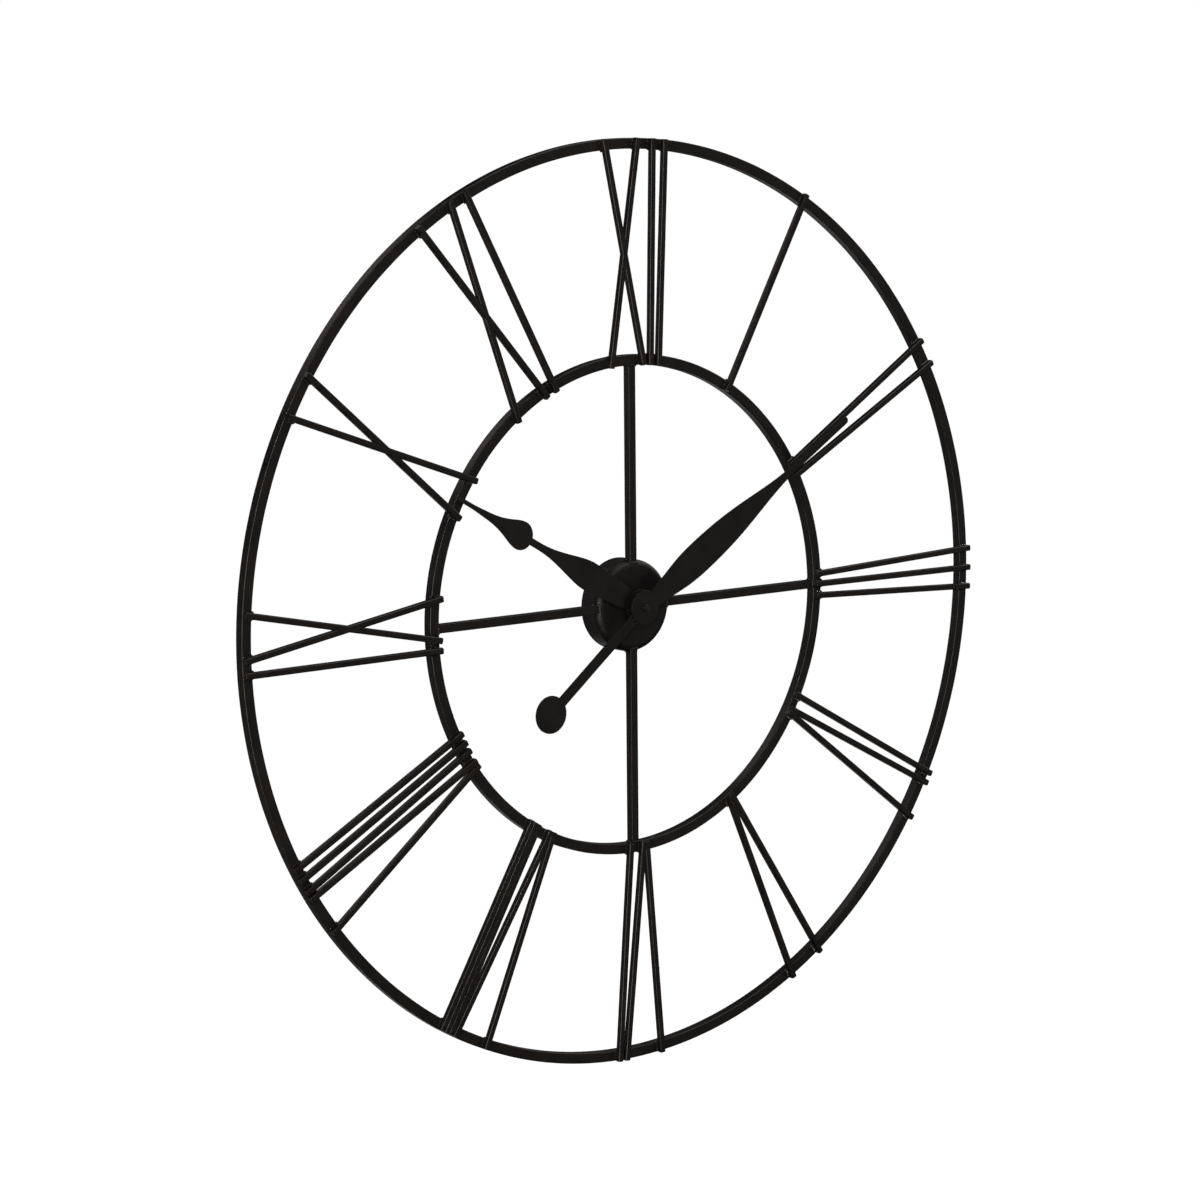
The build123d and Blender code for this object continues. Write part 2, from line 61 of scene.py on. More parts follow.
# ---------------------------------------------------------------- camera
VIEW_AZIMUTH = radians(-38.483)
VIEW_ELEVATION = radians(7.933)
VIEW_ROLL = radians(-0.518)
VIEW_DISTANCE = 3.529
VIEW_END = 100.0
LENS = 103.0
SENSOR = 36.0
AIM_SHIFT = Vector((-41.5, -0.4, 9.5)) * mm      # from the centre of the ring to the point aimed at
ring_centre = middle("outer_ring")


def add_camera():
    """Camera left of the clock and a little above it, with a slight roll."""
    target = ring_centre + AIM_SHIFT
    back = Vector((
        sin(VIEW_AZIMUTH) * cos(VIEW_ELEVATION),
        -cos(VIEW_AZIMUTH) * cos(VIEW_ELEVATION),
        sin(VIEW_ELEVATION),
    ))
    level = Vector((cos(VIEW_AZIMUTH), sin(VIEW_AZIMUTH), 0.0))
    upright = back.cross(level)
    right = level * cos(VIEW_ROLL) + upright * sin(VIEW_ROLL)
    up = upright * cos(VIEW_ROLL) - level * sin(VIEW_ROLL)
    data = bpy.data.cameras.new("camera")
    data.lens = LENS
    data.sensor_width = SENSOR
    data.clip_end = VIEW_END
    camera = bpy.data.objects.new("camera", data)
    scene.collection.objects.link(camera)
    turn = Matrix((right, up, back)).transposed().to_4x4()
    camera.matrix_world = Matrix.Translation(target + back * VIEW_DISTANCE) @ turn
    scene.camera = camera


# ---------------------------------------------------------------- studio
FLOOR_DROP = 2.0
FLOOR_RADIUS = 40.0
FLOOR_SEGMENTS = 64
FLOOR_ROUGHNESS = 0.9
PALE = (0.9, 0.9, 0.9, 1.0)
WHITE = (1.0, 1.0, 1.0, 1.0)


def add_studio():
    """White surroundings for the camera; the object is lit by soft panels alone."""
    world = bpy.data.worlds.new("white_room")
    world.use_nodes = True
    background = world.node_tree.nodes["Background"]
    background.inputs["Color"].default_value = WHITE
    background.inputs["Strength"].default_value = 1.0
    world.cycles_visibility.diffuse = False
    world.cycles_visibility.glossy = False
    world.cycles_visibility.transmission = False
    scene.world = world
    scene.view_settings.view_transform = "Standard"


def add_floor():
    """Pale floor at FLOOR_DROP under the origin, as bright as the room round it."""
    mesh = bpy.data.meshes.new("floor")
    form = bmesh.new()
    bmesh.ops.create_circle(form, cap_ends=True, segments=FLOOR_SEGMENTS, radius=FLOOR_RADIUS)
    form.to_mesh(mesh)
    form.free()
    floor = bpy.data.objects.new("floor", mesh)
    floor.location = (0.0, 0.0, -FLOOR_DROP)
    scene.collection.objects.link(floor)
    pale = bpy.data.materials.new("floor_pale")
    pale.use_nodes = True
    shader = pale.node_tree.nodes["Principled BSDF"]
    shader.inputs["Base Color"].default_value = PALE
    shader.inputs["Roughness"].default_value = FLOOR_ROUGHNESS
    shader.inputs["Emission Color"].default_value = WHITE
    shader.inputs["Emission Strength"].default_value = 1.0
    mesh.materials.append(pale)
    floor.visible_diffuse = False
    floor.visible_glossy = False


def add_panel(name, at, size, radiance, tint):
    """Soft rectangular light that faces the clock and that the camera doesn't see."""
    width, height = size
    data = bpy.data.lights.new(name, "AREA")
    data.shape = "RECTANGLE"
    data.size = width
    data.size_y = height
    data.energy = radiance * pi * width * height
    data.color = tint
    light = bpy.data.objects.new(name, data)
    light.location = at
    facing = ring_centre - Vector(at)
    light.rotation_euler = facing.to_track_quat("-Z", "Y").to_euler()
    light.visible_camera = False
    scene.collection.objects.link(light)


NEUTRAL = (1.0, 1.0, 1.0)
WARM = (1.0, 0.93, 0.87)
ROSE = (1.0, 0.88, 0.86)
# name, place and size in metres, radiance, tint
PANELS = (
    ("panel_back", (2.4, 3.1, 0.6), (4.0, 2.4), 0.08, NEUTRAL),
    ("panel_behind", (0.0, 3.7, 0.1), (1.6, 1.6), 3.0, NEUTRAL),
    ("panel_back_high", (-0.7, 2.6, 2.3), (1.8, 1.4), 0.70, ROSE),
    ("panel_back_low", (-0.9, 2.6, -1.8), (2.0, 1.8), 0.12, WARM),
    ("panel_back_left", (-2.6, 3.0, -0.5), (2.6, 2.6), 0.08, WARM),
    ("panel_low_right", (1.5, 2.4, -2.0), (2.4, 1.6), 0.45, NEUTRAL),
    ("panel_top", (1.2, -0.6, 2.6), (3.4, 3.0), 1.1, NEUTRAL),
    ("panel_right", (3.0, 0.6, 1.25), (2.2, 1.8), 1.2, WARM),
    ("panel_key", (-2.5, -1.9, -0.3), (2.0, 2.4), 3.4, WARM),
    ("panel_fill", (2.6, -2.8, -0.3), (3.6, 3.4), 0.18, WARM),
    ("panel_glint", (-1.9, -2.9, 1.5), (0.25, 0.25), 120.0, NEUTRAL),
)


# ---------------------------------------------------------------- materials
# Scales of noise are in features per metre, and depths of bump are in metres.
NOISE_LOW = 0.3              # most of a noise field lies between these two values
NOISE_HIGH = 0.7
COATING_IOR = 1.5

PAINT_PATCHES = 45.0
PAINT_SPECKLE = 420.0
# patches along the edges where the lighter brown shows: paint worn thin, and partly a painted warm
# highlight
PAINT_SHEEN_AND_RUB = 130.0
SHEEN_AND_RUB_START = 0.42             # noise value where the lighter edge colour (paint worn thin, partly painted highlight) begins, and where it is complete
SHEEN_AND_RUB_END = 0.62
PLASTIC_FLOW = 60.0
PLASTIC_SPARK = 1400.0
SPARK_DEPTH = 0.00003
METAL_STAIN = 120.0

# copper of the winding: the darker tone is painted shade in the grooves between turns, the lighter a
# painted sheen on each ridge
WIRE_SHADED_GROOVE = (0.16, 0.045, 0.015)
WIRE_LIT_RIDGE = (0.62, 0.24, 0.09)
WIRE_PITCH = 0.0004
WIRE_DEPTH = 0.00006
WIRE_NOISE = 500.0
WIRE_ROUGH = (0.22, 0.38)
WIRE_METALLIC = 0.8

TERMINAL_GREY = (0.55, 0.55, 0.53)
SLEEVE_DARK = (0.012, 0.02, 0.035)
SLEEVE_COPPER = (0.42, 0.15, 0.035)
CONTACT_GREY = (0.60, 0.60, 0.58)
SCUFF_GREY = (0.3, 0.3, 0.3)
SLEEVE_START = 0.012         # places along the battery, as shares of its length
COPPER_START = 0.66
CONTACT_START = 0.965
CONTACT_BLEND = 0.003
SLEEVE_SCUFFS = 260.0
SCUFF_AMOUNT = 0.12
SLEEVE_ROUGH = (0.2, 0.36)
SLEEVE_NOISE = 500.0
SLEEVE_DEPTH = 0.00001

BOARD_DARK = (0.010, 0.085, 0.030, 1.0)
BOARD_LIGHT = (0.014, 0.110, 0.040, 1.0)
TRACK_GREEN = (0.030, 0.190, 0.075, 1.0)
TRACK_SCALE = 420.0
TRACK_WIDTH = 0.12
TRACK_DEPTH = 0.00003
BOARD_NOISE = 800.0
BOARD_ROUGH = (0.25, 0.4)


def new_material(name):
    """Material with its node tree and its shader."""
    material = bpy.data.materials.new(name)
    material.use_nodes = True
    return material, material.node_tree, material.node_tree.nodes["Principled BSDF"]


def place(tree, kind, **values):
    """Adds a node and sets the sockets that are named."""
    node = tree.nodes.new(kind)
    for key, value in values.items():
        node.inputs[key.replace("_", " ")].default_value = value
    return node


def object_coordinates(tree):
    """Place in the object's own space, in metres."""
    return tree.nodes.new("ShaderNodeTexCoord").outputs["Object"]


def noise_field(tree, scale, detail=4.0, roughness=0.55):
    """Noise in the object's own space."""
    field = place(tree, "ShaderNodeTexNoise", Scale=scale, Detail=detail, Roughness=roughness)
    tree.links.new(object_coordinates(tree), field.inputs["Vector"])
    return field.outputs["Fac"]


def ramp(tree, factor, stops):
    """Colour ramp through (position, colour) stops."""
    node = tree.nodes.new("ShaderNodeValToRGB")
    first, last = stops[0], stops[-1]
    node.color_ramp.elements[0].position = first[0]
    node.color_ramp.elements[0].color = (*first[1], 1.0)
    node.color_ramp.elements[1].position = last[0]
    node.color_ramp.elements[1].color = (*last[1], 1.0)
    for position, colour in stops[1:-1]:
        node.color_ramp.elements.new(position).color = (*colour, 1.0)
    tree.links.new(factor, node.inputs["Fac"])
    return node.outputs["Color"]


def two_tone(tree, factor, dark, light):
    """Colour that runs from dark to light over the usual range of a noise field."""
    return ramp(tree, factor, ((NOISE_LOW, dark), (NOISE_HIGH, light)))


def spread(tree, factor, low, high, start=NOISE_LOW, end=NOISE_HIGH):
    """Value that runs from low to high while the factor goes from start to end."""
    node = place(tree, "ShaderNodeMapRange", From_Min=start, From_Max=end, To_Min=low, To_Max=high)
    tree.links.new(factor, node.inputs["Value"])
    return node.outputs["Result"]


MIX_FACTOR = 0               # places of a colour mix's sockets among all of the Mix node's sockets
MIX_FIRST = 6
MIX_SECOND = 7
MIX_RESULT = 2


def mix_colour(tree, factor, first, second):
    """Colour from the first socket, turned towards the second colour by the factor."""
    node = tree.nodes.new("ShaderNodeMix")
    node.data_type = "RGBA"
    tree.links.new(factor, node.inputs[MIX_FACTOR])
    tree.links.new(first, node.inputs[MIX_FIRST])
    node.inputs[MIX_SECOND].default_value = (*second, 1.0)
    return node.outputs[MIX_RESULT]


def bump(tree, shader, height, depth):
    """Bump of a depth in metres, laid over any bump that the shader already has."""
    node = place(tree, "ShaderNodeBump", Strength=1.0, Distance=depth)
    tree.links.new(height, node.inputs["Height"])
    if shader.inputs["Normal"].is_linked:
        tree.links.new(shader.inputs["Normal"].links[0].from_socket, node.inputs["Normal"])
    tree.links.new(node.outputs["Normal"], shader.inputs["Normal"])


def painted_iron(name, dark, light, rough, grain=0.00005, swell=0.0002):
    """Black paint on iron: patchy tone, orange peel, forge swell, and lighter brown patches along the
    rounded edges, partly paint worn thin and partly a painted warm highlight.
    """
    material, tree, shader = new_material(name)
    patches = noise_field(tree, PAINT_PATCHES)
    speckle = noise_field(tree, PAINT_SPECKLE, roughness=0.65)
    tone = two_tone(tree, patches, dark, light)
    # Lighter brown on the rounded corners, in random patches: partly paint worn thin, partly a painted
    # warm highlight.
    edge = tree.nodes.new("ShaderNodeAttribute")
    edge.attribute_name = "edge"
    sheen_and_rub_patches = spread(tree, noise_field(tree, PAINT_SHEEN_AND_RUB), 0.0, 1.0, SHEEN_AND_RUB_START, SHEEN_AND_RUB_END)
    sheen_and_rub_share = tree.nodes.new("ShaderNodeMath")
    sheen_and_rub_share.operation = "MULTIPLY"
    tree.links.new(edge.outputs["Fac"], sheen_and_rub_share.inputs[0])
    tree.links.new(sheen_and_rub_patches, sheen_and_rub_share.inputs[1])
    tree.links.new(mix_colour(tree, sheen_and_rub_share.outputs["Value"], tone, RUBBED_AND_SHEEN_BROWN), shader.inputs["Base Color"])
    tree.links.new(spread(tree, speckle, *rough), shader.inputs["Roughness"])
    bump(tree, shader, patches, swell)
    bump(tree, shader, speckle, grain)
    shader.inputs["IOR"].default_value = COATING_IOR
    return material


def moulded_plastic(name, dark, light, rough):
    """Injection moulded plastic with a fine spark texture and faint flow marks."""
    material, tree, shader = new_material(name)
    flow = noise_field(tree, PLASTIC_FLOW, detail=2.0)
    spark = noise_field(tree, PLASTIC_SPARK, detail=2.0, roughness=0.7)
    tree.links.new(two_tone(tree, flow, dark, light), shader.inputs["Base Color"])
    tree.links.new(spread(tree, spark, *rough), shader.inputs["Roughness"])
    bump(tree, shader, spark, SPARK_DEPTH)
    shader.inputs["IOR"].default_value = COATING_IOR
    return material


def bare_metal(name, dark, light, rough, lay=(1.0, 1.0, 12.0), scale=300.0, depth=0.000008):
    """Metal with fine tool marks; lay stretches them across one axis."""
    material, tree, shader = new_material(name)
    stretch = tree.nodes.new("ShaderNodeMapping")
    stretch.inputs["Scale"].default_value = lay
    tree.links.new(object_coordinates(tree), stretch.inputs["Vector"])
    marks = place(tree, "ShaderNodeTexNoise", Scale=scale, Detail=5.0, Roughness=0.6)
    tree.links.new(stretch.outputs["Vector"], marks.inputs["Vector"])
    stain = noise_field(tree, METAL_STAIN)
    tree.links.new(two_tone(tree, stain, dark, light), shader.inputs["Base Color"])
    tree.links.new(spread(tree, marks.outputs["Fac"], *rough), shader.inputs["Roughness"])
    bump(tree, shader, marks.outputs["Fac"], depth)
    shader.inputs["Metallic"].default_value = 1.0
    return material


def wound_wire(name):
    """Enamelled wire wound round the X axis: one ridge per turn, with painted shade in the grooves between
    turns and a painted sheen on the ridges.
    """
    material, tree, shader = new_material(name)
    wave = place(tree, "ShaderNodeTexWave", Scale=1.0 / WIRE_PITCH, Distortion=0.6, Detail=1.0)
    wave.bands_direction = "X"
    tree.links.new(object_coordinates(tree), wave.inputs["Vector"])
    # colour follows the ridges of the bump: painted shade in the grooves, painted sheen on top
    tone = ramp(tree, wave.outputs["Fac"], ((0.0, WIRE_SHADED_GROOVE), (1.0, WIRE_LIT_RIDGE)))
    tree.links.new(tone, shader.inputs["Base Color"])
    tree.links.new(spread(tree, noise_field(tree, WIRE_NOISE), *WIRE_ROUGH), shader.inputs["Roughness"])
    bump(tree, shader, wave.outputs["Fac"], WIRE_DEPTH)
    shader.inputs["Metallic"].default_value = WIRE_METALLIC
    return material


def battery_sleeve(name):
    """Shrink sleeve in two plain colours, bare metal at the raised contact."""
    material, tree, shader = new_material(name)
    low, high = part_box("battery")
    split = tree.nodes.new("ShaderNodeSeparateXYZ")
    tree.links.new(object_coordinates(tree), split.inputs["Vector"])
    along = place(tree, "ShaderNodeMapRange", From_Min=low.x, From_Max=high.x)
    tree.links.new(split.outputs["X"], along.inputs["Value"])
    share = along.outputs["Result"]
    bands = ramp(tree, share, (
        (0.0, TERMINAL_GREY),
        (SLEEVE_START, SLEEVE_DARK),
        (COPPER_START, SLEEVE_COPPER),
        (CONTACT_START, CONTACT_GREY),
    ))
    bands.node.color_ramp.interpolation = "CONSTANT"
    scuffs = noise_field(tree, SLEEVE_SCUFFS)
    scuffed = mix_colour(tree, spread(tree, scuffs, 0.0, SCUFF_AMOUNT), bands, SCUFF_GREY)
    tree.links.new(scuffed, shader.inputs["Base Color"])
    metal = spread(tree, share, 0.0, 1.0, CONTACT_START - CONTACT_BLEND, CONTACT_START + CONTACT_BLEND)
    tree.links.new(metal, shader.inputs["Metallic"])
    tree.links.new(spread(tree, scuffs, *SLEEVE_ROUGH), shader.inputs["Roughness"])
    bump(tree, shader, noise_field(tree, SLEEVE_NOISE), SLEEVE_DEPTH)
    return material


def green_board(name):
    """Solder mask: blocks of two greens with lighter tracks between them."""
    material, tree, shader = new_material(name)
    tracks = place(tree, "ShaderNodeTexBrick", Scale=TRACK_SCALE, Mortar_Size=TRACK_WIDTH)
    tracks.inputs["Color1"].default_value = BOARD_DARK
    tracks.inputs["Color2"].default_value = BOARD_LIGHT
    tracks.inputs["Mortar"].default_value = TRACK_GREEN
    tree.links.new(object_coordinates(tree), tracks.inputs["Vector"])
    tree.links.new(tracks.outputs["Color"], shader.inputs["Base Color"])
    tree.links.new(spread(tree, noise_field(tree, BOARD_NOISE), *BOARD_ROUGH), shader.inputs["Roughness"])
    bump(tree, shader, tracks.outputs["Fac"], TRACK_DEPTH)
    return material


BLACK = (0.0046, 0.0039, 0.0043)
BROWN_BLACK = (0.0130, 0.0098, 0.0074)
RUBBED_AND_SHEEN_BROWN = (0.030, 0.022, 0.016)            # paint worn thin along an edge, and partly a painted warm highlight on the rounded corners
CUP_BLACK = (0.0046, 0.0040, 0.0043)
CUP_BROWN = (0.0110, 0.0088, 0.0076)
HAND_BLACK = (0.0048, 0.0042, 0.0042)
HAND_BROWN = (0.0120, 0.0097, 0.0078)
GREY_BLACK = (0.016, 0.014, 0.013)
CAP_BLACK = (0.010, 0.009, 0.009)
WELD_DARK = (0.012, 0.011, 0.010)
WELD_LIGHT = (0.020, 0.017, 0.015)
POLISHED = {"grain": 0.00001, "swell": 0.00002}
MELTED = {"grain": 0.00002, "swell": 0.0001}

# Each row: material name, dark tone, light tone, lowest and highest roughness. Paints and metals end with
# the arguments in which they differ from the usual ones.
PAINTS = {
    "ring_iron": ("paint_on_rings", BLACK, BROWN_BLACK, (0.26, 0.48), {}),
    "bar_iron": ("paint_on_arms", BLACK, BROWN_BLACK, (0.26, 0.48), {}),
    "numeral_iron": ("paint_on_numerals", BLACK, BROWN_BLACK, (0.24, 0.44), {}),
    "cup_steel": ("paint_on_cup", CUP_BLACK, CUP_BROWN, (0.42, 0.56), {"swell": 0.0001}),
    "hanger_steel": ("paint_on_hanger", BLACK, GREY_BLACK, (0.40, 0.55), {}),
    "hand_steel": ("paint_on_hands", HAND_BLACK, HAND_BROWN, (0.34, 0.48), {"swell": 0.00006}),
    "cap_steel": ("paint_on_cap", CAP_BLACK, GREY_BLACK, (0.08, 0.16), POLISHED),
    "weld_metal": ("paint_on_welds", WELD_DARK, WELD_LIGHT, (0.08, 0.20), MELTED),
}
PLASTICS = {
    "case_plastic": ("case_black", (0.010, 0.010, 0.011), (0.016, 0.016, 0.017), (0.42, 0.6)),
    "train_plastic": ("train_white", (0.62, 0.60, 0.54), (0.74, 0.72, 0.66), (0.35, 0.5)),
    "knob_plastic": ("knob_grey", (0.030, 0.030, 0.033), (0.045, 0.045, 0.048), (0.35, 0.5)),
    "chip_resin": ("chip_black", (0.006, 0.006, 0.006), (0.012, 0.012, 0.012), (0.12, 0.25)),
    "rubber": ("gasket_rubber", (0.010, 0.010, 0.010), (0.018, 0.018, 0.018), (0.7, 0.9)),
}
TURNED = {"lay": (1.0, 14.0, 1.0)}
SINTERED = {"lay": (1.0, 1.0, 1.0), "scale": 900.0, "depth": 0.00002}
METALS = {
    "bright_steel": ("zinc_plate", (0.52, 0.52, 0.50), (0.68, 0.68, 0.66), (0.22, 0.4), {}),
    "core_steel": ("silicon_steel", (0.30, 0.30, 0.31), (0.42, 0.42, 0.43), (0.35, 0.5), {}),
    "brass": ("turned_brass", (0.62, 0.42, 0.16), (0.78, 0.56, 0.24), (0.18, 0.34), TURNED),
    "magnet": ("sintered_magnet", (0.10, 0.10, 0.105), (0.17, 0.17, 0.175), (0.5, 0.7), SINTERED),
}


def make_materials():
    """Every material, by the slot it belongs to; weld_metal is only for the beads made here."""
    made = {}
    for slot, (name, dark, light, rough, other) in PAINTS.items():
        made[slot] = painted_iron(name, dark, light, rough, **other)
    for slot, row in PLASTICS.items():
        made[slot] = moulded_plastic(*row)
    made["battery_sleeve"] = battery_sleeve("battery_print")
    made["board_resin"] = green_board("board_green")
    made["copper_wire"] = wound_wire("winding_copper")
    for slot, (name, dark, light, rough, other) in METALS.items():
        made[slot] = bare_metal(name, dark, light, rough, **other)
    return made


materials = make_materials()
slot_of = {part["node"]: part["material_slot"] for part in frame["record"]["subparts"]}


def dress_nodes():
    """Gives each CAD node the material of its own slot."""
    for name, slot in slot_of.items():
        data = nodes[name].data
        data.materials.clear()
        data.materials.append(materials[slot])


# ---------------------------------------------------------------- mesh making
SHARP_ANGLE = radians(50)
FLAT_WEIGHT = 100            # how far the large faces decide the shading of their edges


class Shell:
    """Points, faces and share of lighter edge colour (paint worn thin, partly painted highlight) of one
    mesh in the making.
    """

    def __init__(self):
        self.points = []
        self.faces = []
        self.rub_and_sheen = []

    def skin(self, rows, rub_and_sheen, closed=False):
        """Joins rows of points, each a closed outline; the ends are filled unless the run is closed.

        The share of lighter edge colour (paint worn thin, partly painted highlight) has one value for each
        point of a row.
        """
        start = len(self.points)
        count = len(rows[0])
        for row in rows:
            self.points.extend(row)
            self.rub_and_sheen.extend(rub_and_sheen)
        last = len(rows) if closed else len(rows) - 1
        for index in range(last):
            here = start + index * count
            after = start + (index + 1) % len(rows) * count
            for side in range(count):
                turn = (side + 1) % count
                self.faces.append((here + side, here + turn, after + turn, after + side))
        if not closed:
            self.faces.append(tuple(range(start, start + count)))
            tail = start + (len(rows) - 1) * count
            self.faces.append(tuple(range(tail, tail + count)))

    def finish(self, name, material, body):
        """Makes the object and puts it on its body."""
        mesh = bpy.data.meshes.new(name)
        mesh.from_pydata(self.points, [], self.faces)
        # edge attribute: share of lighter brown, partly paint worn thin and partly a painted highlight
        layer = mesh.attributes.new("edge", "FLOAT", "POINT")
        layer.data.foreach_set("value", self.rub_and_sheen)
        form = bmesh.new()
        form.from_mesh(mesh)
        bmesh.ops.recalc_face_normals(form, faces=form.faces)
        form.to_mesh(mesh)
        form.free()
        mesh.polygons.foreach_set("use_smooth", [True] * len(mesh.polygons))
        mesh.set_sharp_from_angle(angle=SHARP_ANGLE)
        mesh.materials.append(material)
        piece = bpy.data.objects.new(name, mesh)
        scene.collection.objects.link(piece)
        keep_flats = piece.modifiers.new("flat_faces", "WEIGHTED_NORMAL")
        keep_flats.keep_sharp = True
        keep_flats.weight = FLAT_WEIGHT
        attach(piece, body)
        return piece


CORNER_STEPS = 4
BAR_SWELL = 0.012            # largest change of a bar's size, as a share of it
SWELL_SCALE = 35.0           # swells per metre
RING_STATIONS = 540
RING_EDGE = 1.2 * mm
BAR_SPACING = 6.0 * mm
NUMERAL_EDGE = 1.5 * mm
END_BEVEL = 0.5 * mm


def bar_outline(size, edge):
    """Rounded square as (across, out) offsets, with the share of lighter edge colour at each point,
    highest mid-corner: paint worn thin and partly a painted highlight.
    """
    offsets = []
    rub_and_sheen = []
    reach = size / 2 - edge
    for corner, (x, y) in enumerate(((1, 1), (-1, 1), (-1, -1), (1, -1))):
        for step in range(CORNER_STEPS + 1):
            angle = (corner + step / CORNER_STEPS) * pi / 2
            offsets.append((x * reach + edge * cos(angle), y * reach + edge * sin(angle)))
            rub_and_sheen.append(sin(pi * step / CORNER_STEPS))
    return offsets, rub_and_sheen


def swell(point):
    """Slow unevenness of hand-worked bar, as a factor on its size."""
    return 1.0 + BAR_SWELL * noise.noise(point * SWELL_SCALE)


def ring_bar(node):
    """Square bar bent to a circle, finer and less even than the CAD ring."""
    low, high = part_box(node)
    centre = (low + high) / 2
    size = high.y - low.y
    radius = (high.x - low.x) / 2 - size / 2
    outline, rub_and_sheen = bar_outline(size, RING_EDGE)
    rows = []
    for index in range(RING_STATIONS):
        angle = 2 * pi * index / RING_STATIONS
        out = Vector((cos(angle), 0.0, sin(angle)))
        spot = centre + out * radius
        grow = swell(spot)
        rows.append([spot + out * (a * grow) + FORWARD * (b * grow) for a, b in outline])
    shell = Shell()
    shell.skin(rows, rub_and_sheen, closed=True)
    piece = shell.finish(f"{node}_bar", materials["ring_iron"], "frame")
    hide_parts(node)


def straight_bar(shell, start, end, size, sink):
    """Square bar between two points in the plane of the clock, with bevelled ends, set back by sink."""
    along = (end - start).normalized()
    across = along.cross(FORWARD)
    length = (end - start).length
    count = max(2, round(length / BAR_SPACING))
    stations = [(0.0, END_BEVEL), (END_BEVEL, 0.0)]
    for index in range(1, count):
        stations.append((END_BEVEL + (length - 2 * END_BEVEL) * index / count, 0.0))
    stations += [(length - END_BEVEL, 0.0), (length, END_BEVEL)]
    outline, rub_and_sheen = bar_outline(size, NUMERAL_EDGE)
    rows = []
    for distance, inset in stations:
        spot = start + along * distance - FORWARD * sink
        grow = swell(spot) * (size - 2 * inset) / size
        rows.append([spot + across * (a * grow) + FORWARD * (b * grow) for a, b in outline])
    shell.skin(rows, rub_and_sheen)


SAME_POINT = 1e-6
LEAST_TURN = radians(1.0)    # an edge is sharp if its two faces turn by more than this
LENGTHWISE_SLANT = 0.002     # most that an edge along a bar may slant, as a share of its length


def joined_points(first, seen):
    """All the points that edges join to the first one; they are added to those seen."""
    group = [first]
    wave = [first]
    seen.add(first)
    while wave:
        vert = wave.pop()
        for link in vert.link_edges:
            other = link.other_vert(vert)
            if other not in seen:
                seen.add(other)
                group.append(other)
                wave.append(other)
    return group


def bars_of(node):
    """Corner points and sharp edges of every separate bar in a CAD node."""
    form = bmesh.new()
    form.from_mesh(nodes[node].data)
    bmesh.ops.remove_doubles(form, verts=form.verts, dist=SAME_POINT)
    seen = set()
    bars = []
    for first in form.verts:
        if first in seen:
            continue
        group = joined_points(first, seen)
        links = dict.fromkeys(link for vert in group for link in vert.link_edges)
        sharp = [link for link in links if link.calc_face_angle(0.0) > LEAST_TURN]
        points = np.array([vert.co[:] for vert in group])
        edges = np.array([[end.co[:] for end in link.verts] for link in sharp])
        bars.append((points, edges))
    form.free()
    return bars


def bar_line(points, edges):
    """Axis of one bar, from its lengthwise edges, where it begins and ends, and its size."""
    depth = (points[:, 1].min() + points[:, 1].max()) / 2
    size = points[:, 1].max() - points[:, 1].min()
    runs = edges[:, 1] - edges[:, 0]
    lengths = np.linalg.norm(runs, axis=1)
    along = (runs / lengths[:, None])[lengths.argmax()][[0, 2]]
    across = np.array((-along[1], along[0]))
    slant = np.abs(runs[:, [0, 2]] @ across) / lengths
    lengthwise = (slant < LENGTHWISE_SLANT) & (lengths > size)
    sides = edges[lengthwise].mean(1)[:, [0, 2]] @ across
    middle_line = across * (sides.min() + sides.max()) / 2
    reach = points[:, [0, 2]] @ along
    first = middle_line + along * reach.min()
    last = middle_line + along * reach.max()
    return Vector((first[0], depth, first[1])), Vector((last[0], depth, last[1])), size


def from_axis(point):
    """Distance of a point from the clock's axis."""
    return (Vector((point.x, 0, point.z)) - Vector((ring_centre.x, 0, ring_centre.z))).length


RING_NODES = ("outer_ring", "inner_ring")
WELD_OVERRUN = 1.2 * mm      # past the ring, on the side of the gap between the rings
WELD_INSET = 1.8 * mm        # short of the ring's other side
WELD_STANDOFF = 0.1 * mm     # from the side of the bar to the middle of the bead
WELD_RADIUS = 1.5 * mm
WELD_PITCH = 0.9 * mm        # from one ripple to the next
RIPPLE_ROWS = 3              # rows of points for one ripple
RIPPLE = 0.16                # height of the ripples, as a share of the bead's radius
WOBBLE = 0.25                # unevenness from noise, as a share of the same radius
WOBBLE_SCALE = 400.0
WELD_SEED_STEP = 7.3
BEAD_SIDES = 8
# share of lighter edge colour on weld beads: partly paint worn thin, partly a painted highlight
BEAD_RUB_AND_SHEEN = 0.3
THIN_END = 0.35              # size of a bead at its ends, as a share of its full size
THICKENING = 4.0             # how fast a bead comes to its full size
SHORT_BAR_SINK = 0.06 * mm   # sets a bar that doesn't cross both rings back behind its neighbours


def bead_row(spot, size, first_side, second_side):
    """Ring of points round a spot on a bead, in the plane of two directions."""
    row = []
    for index in range(BEAD_SIDES):
        turn = 2 * pi * index / BEAD_SIDES
        row.append(spot + first_side * (size * cos(turn)) + second_side * (size * sin(turn)))
    return row


